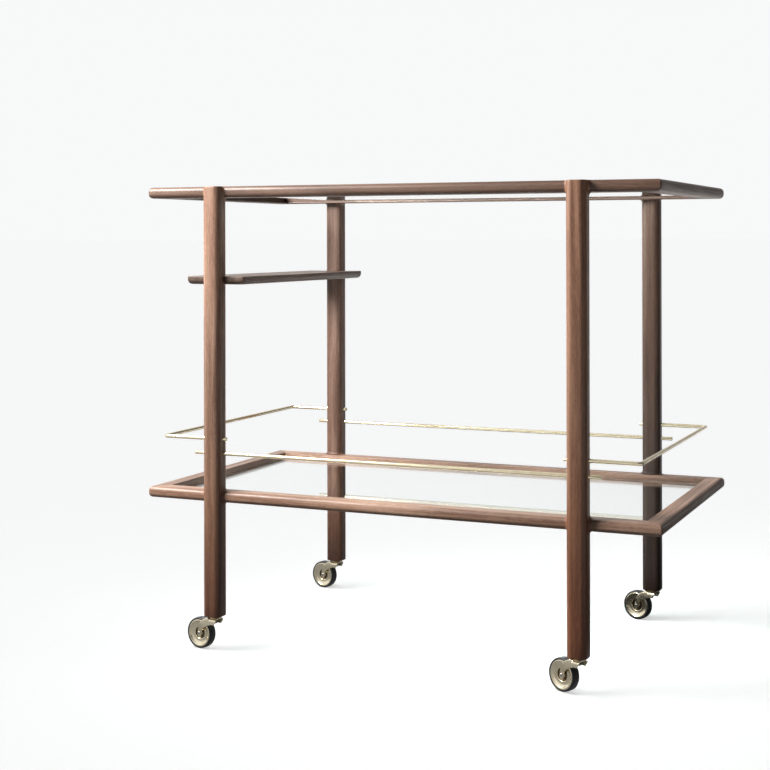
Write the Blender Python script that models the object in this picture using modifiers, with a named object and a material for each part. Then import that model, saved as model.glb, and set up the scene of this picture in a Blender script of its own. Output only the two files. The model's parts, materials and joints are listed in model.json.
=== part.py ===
"""Walnut bar cart on four swivel casters.

Two mitred walnut frames hold glass panels, which drop into a rebate and lie on
its ledge.  Four full-height legs are half-lapped onto the long rails.  A small
bottle shelf is notched around the two left legs, under an open well in the top
frame.  Brass rods guard the lower shelf, and each leg stands on a brass swivel
caster with a rubber tyre.

Units are metres.  +X runs to the right along the cart, -Y is the front, +Z up,
and the origin is on the floor under the middle of the cart.
"""
import math

import bmesh
import bpy
from mathutils import Matrix, Vector

MM = 0.001

# ---------------------------------------------------------------- dimensions
GAP = 0.3 * MM                 # clearance between touching pieces

HEIGHT = 762.0 * MM            # floor to the top face
HALF_L = 434.5 * MM            # frame half length, outer face of the end rails
HALF_W = 235.0 * MM            # frame half depth, outer face of the long rails

RAIL_TOP = 28.6 * MM           # rail width above the glass
LEDGE = 6.0 * MM               # ledge under the edge of the glass
RAIL_W = RAIL_TOP + LEDGE      # whole width of a rail
RAIL_H = 18.5 * MM             # rail height
RAIL_R_OUT = 7.5 * MM          # roundover on the two outer edges
RAIL_R_IN = 2.0 * MM           # eased inner edges
TOP_Z = HEIGHT                 # top face of the top frame
LOWER_Z = 261.7 * MM           # top face of the lower frame

LEG_X = 308.5 * MM             # leg centre from the middle of the cart
LEG_Y = 231.8 * MM
LEG_S = 31.5 * MM              # side of the rounded square
LEG_R = 10.0 * MM              # corner radius
LEG_Z0 = 57.0 * MM             # underside of a leg
LAP_Y = 225.5 * MM             # plane where rail and leg meet in the lap

GLASS_T = 6.0 * MM
GLASS_LIFT = 2.9 * MM          # underside of the glass above the rail bottom
GLASS_PLAY = 0.8 * MM          # room around the glass in the rebate
WELL_X = -262.0 * MM           # free left edge of the top glass

SHELF_X0 = -362.0 * MM
SHELF_X1 = -253.5 * MM
SHELF_Y = 231.0 * MM
SHELF_Z = 614.2 * MM           # top face of the bottle shelf
SHELF_T = 13.4 * MM
SHELF_PLAN_R = 4.5 * MM        # its corners, seen from above
SHELF_LOW_R = 8.5 * MM         # roundover along its lower edges
SHELF_TOP_R = 1.2 * MM

ROD_R = 3.175 * MM             # quarter-inch brass rod
ROD_LOW_Z = 323.7 * MM
ROD_UP_Z = 347.5 * MM
ROD_END_X = 344.3 * MM         # end of the straight rods
U_END_X = 403.0 * MM           # far side of the end rods
U_STUB_X = 286.0 * MM          # where an end rod stops inside its legs
U_BEND = 5.0 * MM              # bend radius on the rod's centre line

WHEEL_R = 25.4 * MM
TRAIL = 29.2 * MM              # stem axis to axle
CASTER_TURN = {                # how far each fork is turned from straight back
    "front_left": 10.5,
    "front_right": 26.0,
    "rear_right": 16.0,
    "rear_left": 13.0,
}
LEGS = {
    "front_left": (-1, -1),
    "front_right": (1, -1),
    "rear_right": (1, 1),
    "rear_left": (-1, 1),
}

# ------------------------------------------------------------- fresh scene
for old in list(bpy.data.objects):
    bpy.data.objects.remove(old, do_unlink=True)

PARTS = bpy.data.collections.new("bar_cart")
CUTTERS = bpy.data.collections.new("cutters")
bpy.context.scene.collection.children.link(PARTS)
bpy.context.scene.collection.children.link(CUTTERS)


# --------------------------------------------------------------- materials
def material(name, colour, roughness, metallic=0.0, transmission=0.0, ior=1.45):
    mat = bpy.data.materials.new(name)
    mat.use_nodes = True
    shader = mat.node_tree.nodes["Principled BSDF"]
    shader.inputs["Base Color"].default_value = (*colour, 1.0)
    shader.inputs["Roughness"].default_value = roughness
    shader.inputs["Metallic"].default_value = metallic
    shader.inputs["Transmission Weight"].default_value = transmission
    shader.inputs["IOR"].default_value = ior
    mat.diffuse_color = (*colour, 1.0)
    return mat


WALNUT = material("walnut", (0.165, 0.085, 0.052), 0.42)
WALNUT_RAIL = material("walnut_rail", (0.215, 0.120, 0.078), 0.42)
BEECH = material("beech_dowel", (0.55, 0.38, 0.22), 0.6)
BRASS = material("brass", (0.78, 0.62, 0.36), 0.25, metallic=1.0)
BRASS_ROD = material("brass_rod", (0.83, 0.70, 0.46), 0.2, metallic=1.0)
STEEL = material("steel", (0.55, 0.55, 0.56), 0.3, metallic=1.0)
NYLON = material("nylon", (0.72, 0.70, 0.64), 0.5)
RUBBER = material("rubber", (0.012, 0.012, 0.014), 0.45)
GLASS = material("glass", (0.86, 0.93, 0.94), 0.03, transmission=1.0, ior=1.5)


# ----------------------------------------------------------------- helpers
def put(name, mesh, mat, collection=PARTS, location=(0, 0, 0), turn=0.0, parent=None):
    obj = bpy.data.objects.new(name, mesh)
    obj.location = location
    obj.rotation_euler = (0.0, 0.0, turn)
    if mat is not None and not mesh.materials:
        mesh.materials.append(mat)
    collection.objects.link(obj)
    if parent is not None:
        obj.parent = parent
    return obj


def finish_mesh(bm, name, smooth=False, angle=35.0):
    bmesh.ops.recalc_face_normals(bm, faces=bm.faces[:])
    mesh = bpy.data.meshes.new(name)
    bm.to_mesh(mesh)
    bm.free()
    if smooth:
        mesh.shade_smooth()
        mesh.set_sharp_from_angle(angle=math.radians(angle))
    return mesh


def box_bm(x0, x1, y0, y1, z0, z1):
    bm = bmesh.new()
    bmesh.ops.create_cube(bm, size=1.0)
    bmesh.ops.scale(bm, vec=(x1 - x0, y1 - y0, z1 - z0), verts=bm.verts)
    bmesh.ops.translate(
        bm, vec=((x0 + x1) / 2, (y0 + y1) / 2, (z0 + z1) / 2), verts=bm.verts)
    return bm


def round_edges(bm, test, radius, segments):
    edges = [e for e in bm.edges if test(e.verts[0].co, e.verts[1].co)]
    bmesh.ops.bevel(bm, geom=edges, offset=radius, segments=segments,
                    profile=0.5, affect="EDGES", clamp_overlap=True)


def cutter(name, mesh, location=(0, 0, 0), turn=0.0, parent=None):
    obj = put(name, mesh, None, CUTTERS, location, turn, parent)
    obj.hide_render = True
    obj.display_type = "WIRE"
    return obj


def box_cutter(name, x0, x1, y0, y1, z0, z1):
    return cutter(name, finish_mesh(box_bm(x0, x1, y0, y1, z0, z1), name))


def cylinder_bm(radius, length, sides, axis="Z", centre=(0, 0, 0)):
    bm = bmesh.new()
    bmesh.ops.create_cone(bm, cap_ends=True, segments=sides,
                          radius1=radius, radius2=radius, depth=length)
    # a flat, not a corner, faces straight down when the axis is level
    if axis == "X":
        bmesh.ops.rotate(bm, verts=bm.verts, matrix=Matrix.Rotation(math.pi / 2, 3, "Y"))
    elif axis == "Y":
        bmesh.ops.rotate(bm, verts=bm.verts, matrix=Matrix.Rotation(math.pi / 2, 3, "X"))
    bmesh.ops.translate(bm, vec=centre, verts=bm.verts)
    return bm


def cylinder_cutter(name, radius, length, sides, axis, centre):
    return cutter(name, finish_mesh(cylinder_bm(radius, length, sides, axis, centre), name))


def boolean(obj, operand, operation="DIFFERENCE"):
    mod = obj.modifiers.new(operation.lower(), "BOOLEAN")
    mod.operation = operation
    mod.solver = "EXACT"
    mod.object = operand
    return mod


def baked(obj, name, smooth=True, angle=32.0):
    """The evaluated mesh of an object, as a mesh of its own."""
    bpy.context.view_layer.update()
    graph = bpy.context.evaluated_depsgraph_get()
    mesh = bpy.data.meshes.new_from_object(obj.evaluated_get(graph))
    mesh.name = name
    bm = bmesh.new()
    bm.from_mesh(mesh)
    bmesh.ops.remove_doubles(bm, verts=bm.verts, dist=0.00001)
    bmesh.ops.recalc_face_normals(bm, faces=bm.faces[:])
    bm.to_mesh(mesh)
    bm.free()
    mesh.materials.clear()
    if smooth:
        mesh.shade_smooth()
        mesh.set_sharp_from_angle(angle=math.radians(angle))
    bpy.data.objects.remove(obj, do_unlink=True)
    return mesh


def turned(name, profile, steps, closed=False):
    """A profile of (radius, height) points turned about Z with a Screw modifier."""
    mesh = bpy.data.meshes.new(name + "_profile")
    count = len(profile)
    edges = [(i, i + 1) for i in range(count - 1)]
    if closed:
        edges.append((count - 1, 0))
    mesh.from_pydata([(r, 0.0, h) for r, h in profile], edges, [])
    obj = bpy.data.objects.new(name + "_turning", mesh)
    PARTS.objects.link(obj)
    screw = obj.modifiers.new("turn", "SCREW")
    screw.axis = "Z"
    screw.angle = 2 * math.pi
    screw.steps = screw.render_steps = steps
    screw.use_merge_vertices = True
    screw.merge_threshold = 0.00001
    return baked(obj, name)


def loft(rings):
    """Closed skin through rings of points, capped at both ends."""
    bm = bmesh.new()
    loops = [[bm.verts.new(p) for p in ring] for ring in rings]
    n = len(rings[0])
    for a, b in zip(loops, loops[1:]):
        for i in range(n):
            j = (i + 1) % n
            bm.faces.new((a[i], a[j], b[j], b[i]))
    bm.faces.new(loops[0])
    bm.faces.new(list(reversed(loops[-1])))
    return bm


# ------------------------------------------------------------------ cutters
LEG_HALF = LEG_S / 2

# lap housings: the rail's web passes through a slot in the leg's inner side
LAPS = {}
for side, sign in (("front", -1), ("rear", 1)):
    ys = sorted((sign * LAP_Y + sign * GAP / 2, sign * 190 * MM))
    LAPS["top", side] = box_cutter(
        f"cut_lap_top_{side}", -400 * MM, 400 * MM, *ys,
        TOP_Z - RAIL_H - GAP, TOP_Z + 10 * MM)
    LAPS["lower", side] = box_cutter(
        f"cut_lap_lower_{side}", -400 * MM, 400 * MM, *ys,
        LOWER_Z - RAIL_H - GAP, LOWER_Z + GAP)

# the matching slots in the outer faces of the rails, and the deeper notches that
# let the bottle shelf pass around the two left legs
SLOTS = {}
NOTCHES = {}
for leg, (sx, sy) in LEGS.items():
    xs = (sx * LEG_X - LEG_HALF - GAP, sx * LEG_X + LEG_HALF + GAP)
    ys = sorted((sy * (LAP_Y - GAP / 2), sy * 270 * MM))
    SLOTS[leg] = box_cutter(f"cut_slot_{leg}", *xs, *ys, 200 * MM, 800 * MM)
    if sx < 0:
        ys = sorted((sy * (LEG_Y - LEG_HALF - GAP), sy * 270 * MM))
        NOTCHES[leg] = box_cutter(f"cut_notch_{leg}", *xs, *ys, 560 * MM, 660 * MM)

# rod bores through the legs, and the stem bore up each leg
BORES = {}
for side, sign in (("front", -1), ("rear", 1)):
    BORES["low", side] = cylinder_cutter(
        f"cut_rod_low_{side}", ROD_R + 0.25 * MM, 800 * MM, 12, "X",
        (0, sign * LEG_Y, ROD_LOW_Z))
    BORES["up", side] = cylinder_cutter(
        f"cut_rod_up_{side}", ROD_R + 0.25 * MM, 800 * MM, 12, "X",
        (0, sign * LEG_Y, ROD_UP_Z))

# dowels across each lap, out of sight inside the wood
DOWEL_R = 4.0 * MM
DOWEL_IN = 219.0 * MM
DOWEL_OUT = 235.0 * MM
DOWELS = {}
DOWEL_CUTS = {}
for leg, (sx, sy) in LEGS.items():
    for level, z in (("top", TOP_Z - RAIL_H / 2), ("lower", LOWER_Z - RAIL_H / 2)):
        mid = (sx * LEG_X, sy * (DOWEL_IN + DOWEL_OUT) / 2, z)
        DOWELS[f"{level}_{leg}_dowel"] = cylinder_bm(
            DOWEL_R, DOWEL_OUT - DOWEL_IN, 8, "Y", mid)
        DOWEL_CUTS[level, leg] = cylinder_cutter(
            f"cut_dowel_{level}_{leg}", DOWEL_R + GAP, DOWEL_OUT - DOWEL_IN + 2 * GAP,
            8, "Y", mid)
    if sx < 0:
        mid = (sx * LEG_X, sy * (LEG_Y - LEG_HALF - 2 * MM), SHELF_Z - SHELF_T / 2)
        DOWELS[f"shelf_{leg}_dowel"] = cylinder_bm(3 * MM, 24 * MM, 8, "Y", mid)
        DOWEL_CUTS["shelf", leg] = cylinder_cutter(
            f"cut_dowel_shelf_{leg}", 3 * MM + GAP, 24 * MM + 2 * GAP, 8, "Y", mid)


# -------------------------------------------------------------------- legs
def leg_mesh():
    bm = box_bm(-LEG_HALF, LEG_HALF, -LEG_HALF, LEG_HALF, LEG_Z0, HEIGHT)
    round_edges(bm, lambda a, b: abs(a.z - b.z) > 0.1, LEG_R, 4)
    round_edges(bm, lambda a, b: abs(a.z - HEIGHT) < 1e-6 and abs(b.z - HEIGHT) < 1e-6,
                1.2 * MM, 1)
    round_edges(bm, lambda a, b: abs(a.z - LEG_Z0) < 1e-6 and abs(b.z - LEG_Z0) < 1e-6,
                1.2 * MM, 1)
    return finish_mesh(bm, "leg", smooth=True)


SOCKET_R = 5.6 * MM            # outside of the stem socket
SOCKET_TOP = 95.0 * MM
for leg, (sx, sy) in LEGS.items():
    side = leg.split("_")[0]
    obj = put(f"{leg}_leg", leg_mesh(), WALNUT, location=(sx * LEG_X, sy * LEG_Y, 0))
    boolean(obj, LAPS["top", side])
    boolean(obj, LAPS["lower", side])
    boolean(obj, BORES["low", side])
    boolean(obj, BORES["up", side])
    boolean(obj, DOWEL_CUTS["top", leg])
    boolean(obj, DOWEL_CUTS["lower", leg])
    if sx < 0:
        boolean(obj, DOWEL_CUTS["shelf", leg])
    bore = cylinder_cutter(f"cut_stem_{leg}", SOCKET_R + GAP, 80 * MM, 12, "Z",
                           (sx * LEG_X, sy * LEG_Y, SOCKET_TOP + 2 * MM - 40 * MM))
    boolean(obj, bore)


# ------------------------------------------------------------------- rails
def corner(y, z, radius, start, steps):
    """A rounded corner of the section, turning left through 90 degrees."""
    a0 = math.radians(start)
    cy = y - radius * (math.cos(a0) + math.cos(a0 + math.pi / 2))
    cz = z - radius * (math.sin(a0) + math.sin(a0 + math.pi / 2))
    return [(cy + radius * math.cos(a0 + math.pi / 2 * i / steps),
             cz + radius * math.sin(a0 + math.pi / 2 * i / steps))
            for i in range(steps + 1)]


def rail_mesh(half, name):
    """A mitred rail: X along it, Y inwards from the outer face, Z up.

    Its section is an L: the glass lies on the ledge along its inner side.
    """
    ledge = GLASS_LIFT - GAP
    section = [*corner(RAIL_W, 0, RAIL_R_IN, -90, 2), (RAIL_W, ledge), (RAIL_TOP, ledge),
               *corner(RAIL_TOP, RAIL_H, RAIL_R_IN, 0, 2),
               *corner(0, RAIL_H, RAIL_R_OUT, 90, 5), *corner(0, 0, RAIL_R_OUT, 180, 5)]
    bm = loft([[(x, y, z) for y, z in section] for x in (-half, half)])
    for sign in (-1, 1):
        cut = bmesh.ops.bisect_plane(
            bm, geom=bm.verts[:] + bm.edges[:] + bm.faces[:],
            plane_co=(sign * (half - 0.21 * MM), 0, 0), plane_no=(sign, 1, 0),
            clear_outer=True, dist=1e-7)
        rim = [g for g in cut["geom_cut"] if isinstance(g, bmesh.types.BMEdge)]
        bmesh.ops.contextual_create(bm, geom=rim)
    return finish_mesh(bm, name, smooth=True)


for level, top in (("top", TOP_Z), ("lower", LOWER_Z)):
    z0 = top - RAIL_H
    for side, sign, turn in (("front", -1, 0.0), ("rear", 1, math.pi)):
        rail = put(f"{level}_{side}_rail", rail_mesh(HALF_L, "long_rail"), WALNUT_RAIL,
                   location=(0, sign * HALF_W, z0), turn=turn)
        for leg in (f"{side}_left", f"{side}_right"):
            boolean(rail, SLOTS[leg])
            boolean(rail, DOWEL_CUTS[level, leg])
    for side, sign, turn in (("left", -1, -math.pi / 2), ("right", 1, math.pi / 2)):
        rail = put(f"{level}_{side}_rail", rail_mesh(HALF_W, "end_rail"), WALNUT_RAIL,
                   location=(sign * HALF_L, 0, z0), turn=turn)

for name, bm in DOWELS.items():
    put(name, finish_mesh(bm, name, smooth=True), BEECH)

# ------------------------------------------------------------------- glass
GLASS_HX = HALF_L - RAIL_TOP - GLASS_PLAY
GLASS_HY = HALF_W - RAIL_TOP - GLASS_PLAY
for level, top, x0 in (("top", TOP_Z, WELL_X), ("lower", LOWER_Z, -GLASS_HX)):
    z0 = top - RAIL_H + GLASS_LIFT
    bm = box_bm(x0, GLASS_HX, -GLASS_HY, GLASS_HY, z0, z0 + GLASS_T)
    round_edges(bm, lambda a, b: True, 0.8 * MM, 1)
    put(f"{level}_glass", finish_mesh(bm, f"{level}_glass"), GLASS)

# ------------------------------------------------------------ bottle shelf
def shelf_ring(inset, z):
    """The shelf's outline at one height, drawn in by the inset."""
    r = max(SHELF_PLAN_R - inset, 0.5 * MM)
    x0, x1 = SHELF_X0 + inset + r, SHELF_X1 - inset - r
    y1 = SHELF_Y - inset - r
    ring = []
    for quarter, (cx, cy) in enumerate(((x1, y1), (x0, y1), (x0, -y1), (x1, -y1))):
        for i in range(4):
            a = math.radians(90 * quarter + 30 * i)
            ring.append((cx + r * math.cos(a), cy + r * math.sin(a), z))
    return ring


rings = []
for i in range(6):
    a = math.radians(90 * i / 5)
    rings.append(shelf_ring(SHELF_LOW_R * (1 - math.sin(a)),
                            SHELF_Z - SHELF_T + SHELF_LOW_R * (1 - math.cos(a))))
rings.append(shelf_ring(0.0, SHELF_Z - SHELF_TOP_R))
rings.append(shelf_ring(0.3 * SHELF_TOP_R, SHELF_Z - 0.3 * SHELF_TOP_R))
rings.append(shelf_ring(SHELF_TOP_R, SHELF_Z))
bm = loft(rings)
shelf = put("side_shelf", finish_mesh(bm, "side_shelf", smooth=True), WALNUT_RAIL)
for leg in ("front_left", "rear_left"):
    boolean(shelf, NOTCHES[leg])
    boolean(shelf, DOWEL_CUTS["shelf", leg])


# -------------------------------------------------------------------- rods
def straight_rod():
    bm = cylinder_bm(ROD_R, 2 * ROD_END_X, 12, "X")
    round_edges(bm, lambda a, b: abs(abs(a.x) - ROD_END_X) < 1e-6
                and abs(a.x - b.x) < 1e-6, 0.5 * MM, 1)
    return finish_mesh(bm, "straight_rod", smooth=True, angle=50)


for side, sign in (("front", -1), ("rear", 1)):
    put(f"{side}_rod", straight_rod(), BRASS_ROD, location=(0, sign * LEG_Y, ROD_LOW_Z))


def end_rod(name, sign):
    """A U-shaped rod: in through the front leg, across the end, out through the rear leg."""
    points = [(-U_STUB_X, -LEG_Y)]
    for corner in (-1, 1):
        cx, cy = -(U_END_X - U_BEND), corner * (LEG_Y - U_BEND)
        for i in range(7):
            a = math.radians(90 * i / 6)
            if corner < 0:
                points.append((cx - U_BEND * math.sin(a), cy - U_BEND * math.cos(a)))
            else:
                points.append((cx - U_BEND * math.cos(a), cy + U_BEND * math.sin(a)))
    points.append((-U_STUB_X, LEG_Y))
    if sign > 0:
        points = [(-x, y) for x, y in points]
    curve = bpy.data.curves.new(name, "CURVE")
    curve.dimensions = "3D"
    spline = curve.splines.new("POLY")
    spline.points.add(len(points) - 1)
    for point, (x, y) in zip(spline.points, points):
        point.co = (x, y, ROD_UP_Z, 1.0)
    curve.bevel_depth = ROD_R
    curve.bevel_resolution = 4
    curve.use_fill_caps = True
    obj = bpy.data.objects.new(name, curve)
    curve.materials.append(BRASS_ROD)
    PARTS.objects.link(obj)
    return obj


end_rod("left_end_rod", -1)
end_rod("right_end_rod", 1)


# ----------------------------------------------------------------- casters
# Everything here is drawn about the stem axis, with the wheel trailing to -X.
CROWN_TOP = 54.0 * MM
SHEET = 2.0 * MM
ARM_IN = 8.6 * MM              # inner face of an arm where it passes the tyre
STEM_R = 3.95 * MM


def arm_bm(side):
    """One swept arm of the fork, bent in towards the axle.

    Stations along the arm: x and z of its middle, its half width, and the
    distance of its inner face from the middle plane.
    """
    stations = [
        (-6.0, 47.4, 5.9, 8.60),
        (-11.0, 46.1, 6.3, 8.60),
        (-16.0, 43.6, 6.3, 8.60),
        (-20.6, 40.0, 5.9, 8.30),
        (-24.4, 35.8, 5.3, 7.30),
        (-26.7, 31.8, 4.8, 5.40),
        (-28.1, 28.4, 4.4, 4.60),
        (-29.2, 23.0, 4.1, 4.50),
        (-29.3, 19.8, 3.3, 4.50),
        (-29.3, 18.0, 1.9, 4.50),
    ]
    rings = []
    for i, (x, z, half, inner) in enumerate(stations):
        before = stations[max(i - 1, 0)]
        after = stations[min(i + 1, len(stations) - 1)]
        way = Vector((after[0] - before[0], 0, after[1] - before[1])).normalized()
        across = Vector((way.z, 0, -way.x))
        centre = Vector((x, 0, z))
        ring = []
        for w, y in ((1, inner), (1, inner + 1.5), (0.78, inner + 1.9),
                     (-0.78, inner + 1.9), (-1, inner + 1.5), (-1, inner)):
            p = centre + across * half * w
            ring.append((p.x * MM, side * y * MM, p.z * MM))
        rings.append(ring)
    return loft(rings)


def fork_mesh():
    # crown: a bent sheet, high over the stem, falling to the arms at both sides
    bm = box_bm(-12 * MM, 9.0 * MM, -ARM_IN - 1.9 * MM, ARM_IN + 1.9 * MM,
                43.2 * MM, CROWN_TOP)
    round_edges(bm, lambda a, b: abs(a.x - b.x) > 0.01 and a.z > CROWN_TOP - 1e-6
                and b.z > CROWN_TOP - 1e-6, 5.5 * MM, 4)
    crown = put("fork_crown", finish_mesh(bm, "crown"), None)
    bm = box_bm(-20 * MM, 20 * MM, -ARM_IN, ARM_IN, 30 * MM, CROWN_TOP - SHEET)
    round_edges(bm, lambda a, b: abs(a.x - b.x) > 0.01 and a.z > CROWN_TOP - SHEET - 1e-6
                and b.z > CROWN_TOP - SHEET - 1e-6, 3.6 * MM, 3)
    inside = cutter("fork_inside", finish_mesh(bm, "inside"))
    boolean(crown, inside)
    # the front edge of the crown leans back
    bm = box_bm(0, 30 * MM, -20 * MM, 20 * MM, -30 * MM, 0)
    bmesh.ops.rotate(bm, verts=bm.verts, matrix=Matrix.Rotation(math.radians(32), 3, "Y"))
    bmesh.ops.translate(bm, vec=(9.0 * MM, 0, 49.6 * MM), verts=bm.verts)
    boolean(crown, cutter("fork_nose", finish_mesh(bm, "fork_nose")))
    for side in (-1, 1):
        arm = cutter(f"fork_arm_{side}", finish_mesh(arm_bm(side), "arm"))
        boolean(crown, arm, "UNION")
    neck = cutter("fork_neck", finish_mesh(cylinder_bm(
        7.0 * MM, 1.2 * MM, 16, "Z", (0, 0, CROWN_TOP)), "neck"))
    boolean(crown, neck, "UNION")
    hole = cylinder_cutter("fork_hole", STEM_R + GAP, 20 * MM, 16, "Z", (0, 0, CROWN_TOP))
    boolean(crown, hole)
    eye = cylinder_cutter("fork_eye", 1.9 * MM + GAP, 40 * MM, 12, "Y",
                          (-TRAIL, 0, WHEEL_R))
    boolean(crown, eye)
    mesh = baked(crown, "fork")
    for extra in ("fork_inside", "fork_nose", "fork_arm_-1", "fork_arm_1", "fork_neck",
                  "fork_hole", "fork_eye"):
        bpy.data.objects.remove(bpy.data.objects[extra], do_unlink=True)
    return mesh


def on_axle(mesh):
    """Stand a piece turned about Z on the axle instead."""
    mesh.transform(Matrix.Rotation(math.pi / 2, 4, "X"))
    return mesh


def mm_profile(points):
    return [(r * MM, h * MM) for r, h in points]


FORK = fork_mesh()
# the stem is riveted under the crown and turns in the socket in the leg
STEM = turned("stem", mm_profile([
    (0, 91.0), (3.0, 91.0), (3.95, 89.6), (3.95, 51.3), (5.2, 51.3),
    (4.7, 50.0), (2.6, 49.3), (0, 49.3)]), 16)
SOCKET = turned("socket", mm_profile([
    (5.6, 95.0), (5.6, 56.7), (10.0, 56.7), (10.0, 56.1), (9.4, 55.8), (4.1, 55.8),
    (4.1, 95.0)]), 16, closed=True)
WASHER = turned("washer", mm_profile([
    (7.2, 55.5), (7.2, 54.9), (4.3, 54.9), (4.3, 55.5)]), 16, closed=True)
AXLE = on_axle(turned("axle", mm_profile([
    (0, 7.7), (1.8, 7.5), (2.7, 6.8), (1.9, 6.8), (1.9, -6.8), (2.7, -6.8), (1.8, -7.5),
    (0, -7.7)]), 12))
HUB_HALF = mm_profile([
    (2.0, 4.0), (4.8, 4.0), (5.2, 1.6), (8.4, 1.6), (9.6, 4.2), (15.0, 4.9), (19.0, 6.3),
    (20.4, 7.1), (22.0, 7.1)])
HUB = on_axle(turned("hub", [(r, -h) for r, h in HUB_HALF]
                     + HUB_HALF[::-1], 24, closed=True))
TYRE = on_axle(turned("tyre", mm_profile([
    (23.4, 7.2), (24.8, 6.2), (25.4, 3.6), (25.4, -3.6), (24.8, -6.2), (23.4, -7.2),
    (22.3, -7.1), (22.3, 7.1)]), 28, closed=True))

for leg, (sx, sy) in LEGS.items():
    swivel = bpy.data.objects.new(f"swivel_{leg}", None)
    swivel.location = (sx * LEG_X, sy * LEG_Y, 0)
    swivel.rotation_euler = (0, 0, -math.radians(CASTER_TURN[leg]))
    PARTS.objects.link(swivel)
    axle_at = bpy.data.objects.new(f"axle_line_{leg}", None)
    axle_at.location = (-TRAIL, 0, WHEEL_R)
    axle_at.parent = swivel
    PARTS.objects.link(axle_at)

    put(f"{leg}_socket", SOCKET.copy(), BRASS, location=(sx * LEG_X, sy * LEG_Y, 0))
    put(f"{leg}_swivel_washer", WASHER.copy(), NYLON, parent=swivel)
    put(f"{leg}_stem", STEM.copy(), STEEL, parent=swivel)
    put(f"{leg}_fork", FORK.copy(), BRASS, parent=swivel)
    put(f"{leg}_axle", AXLE.copy(), STEEL, parent=axle_at)
    put(f"{leg}_hub", HUB.copy(), BRASS, parent=axle_at)
    put(f"{leg}_tyre", TYRE.copy(), RUBBER, parent=axle_at)

bpy.context.view_layer.update()
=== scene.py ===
"""Looks of the walnut bar cart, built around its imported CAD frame.

Each visible piece is a finer mesh in the place its CAD node holds.  All meshes are
made in the row frame, in metres: +X to the right, -Y the front, +Z up.
"""
import json
import math

import bmesh
import bpy
import numpy as np
from mathutils import Matrix, Vector

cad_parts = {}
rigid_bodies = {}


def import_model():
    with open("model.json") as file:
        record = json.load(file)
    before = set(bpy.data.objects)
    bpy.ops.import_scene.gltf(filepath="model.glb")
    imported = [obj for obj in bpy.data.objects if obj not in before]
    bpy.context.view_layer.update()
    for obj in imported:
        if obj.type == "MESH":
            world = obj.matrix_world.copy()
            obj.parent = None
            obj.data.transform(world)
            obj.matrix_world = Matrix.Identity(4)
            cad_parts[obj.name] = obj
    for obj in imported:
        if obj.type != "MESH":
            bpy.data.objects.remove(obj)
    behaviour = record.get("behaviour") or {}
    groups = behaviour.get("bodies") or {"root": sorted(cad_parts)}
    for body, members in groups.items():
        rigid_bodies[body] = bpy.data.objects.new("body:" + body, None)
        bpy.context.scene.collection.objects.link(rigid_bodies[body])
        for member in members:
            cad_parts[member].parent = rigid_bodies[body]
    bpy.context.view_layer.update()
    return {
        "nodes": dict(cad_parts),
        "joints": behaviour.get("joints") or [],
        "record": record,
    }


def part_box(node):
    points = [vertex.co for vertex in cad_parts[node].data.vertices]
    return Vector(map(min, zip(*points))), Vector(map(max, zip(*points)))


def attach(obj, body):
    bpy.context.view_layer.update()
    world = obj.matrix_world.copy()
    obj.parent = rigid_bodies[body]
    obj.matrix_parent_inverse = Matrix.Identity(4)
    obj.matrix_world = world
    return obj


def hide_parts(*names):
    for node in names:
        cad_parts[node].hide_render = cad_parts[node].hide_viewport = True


MM = 0.001
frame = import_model()
BODY_OF = {n: b for b, ns in frame["record"]["behaviour"]["bodies"].items() for n in ns}
LEGS = ("front_left", "front_right", "rear_right", "rear_left")


# ================================================================ node helpers
class Tree:
    """A small helper that adds nodes and links them by socket name."""

    def __init__(self, owner):
        owner.use_nodes = True
        self.tree = owner.node_tree
        self.tree.nodes.clear()

    def add(self, kind, settings=None, **inputs):
        node = self.tree.nodes.new(kind)
        for key, value in (settings or {}).items():
            setattr(node, key, value)
        for key, value in inputs.items():
            socket = node.inputs[int(key[1:])] if key[0] == "i" and key[1:].isdigit() \
                else node.inputs[key.replace("_", " ")]
            if isinstance(value, bpy.types.NodeSocket):
                self.tree.links.new(value, socket)
            else:
                socket.default_value = value
        return node

    def math(self, operation, a, b=0.0, clamp=False):
        return self.add("ShaderNodeMath", {"operation": operation, "use_clamp": clamp},
                        i0=a, i1=b).outputs[0]

    def scaled(self, vector, scale, shift=(0, 0, 0)):
        return self.add("ShaderNodeMapping", Vector=vector, Scale=scale,
                        Location=shift).outputs[0]

    def noise(self, vector, detail=2.0, roughness=0.5, distortion=0.0):
        return self.add("ShaderNodeTexNoise", {"noise_dimensions": "3D"}, Vector=vector,
                        Scale=1.0, Detail=detail, Roughness=roughness,
                        Distortion=distortion)

    def span(self, value, low, high, to_low=0.0, to_high=1.0, smooth=True):
        return self.add("ShaderNodeMapRange",
                        {"interpolation_type": "SMOOTHSTEP" if smooth else "LINEAR"},
                        i0=value, i1=low, i2=high, i3=to_low, i4=to_high).outputs[0]

    def ramp(self, value, stops):
        node = self.add("ShaderNodeValToRGB", Fac=value)
        elements = node.color_ramp.elements
        while len(elements) < len(stops):
            elements.new(0.5)
        for element, (at, colour) in zip(elements, stops):
            element.position = at
            element.color = (*colour, 1.0)
        return node.outputs[0]

    def blend(self, kind, factor, a, b):
        node = self.add("ShaderNodeMix", {"data_type": "RGBA", "blend_type": kind},
                        i0=factor)
        for index, value in ((6, a), (7, b)):
            if isinstance(value, bpy.types.NodeSocket):
                self.tree.links.new(value, node.inputs[index])
            else:
                node.inputs[index].default_value = (*value, 1.0)
        return node.outputs[2]

    def output(self, shader, kind="ShaderNodeOutputMaterial"):
        self.add(kind, Surface=shader)


def new_material(name):
    mat = bpy.data.materials.new(name)
    return mat, Tree(mat)


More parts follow.
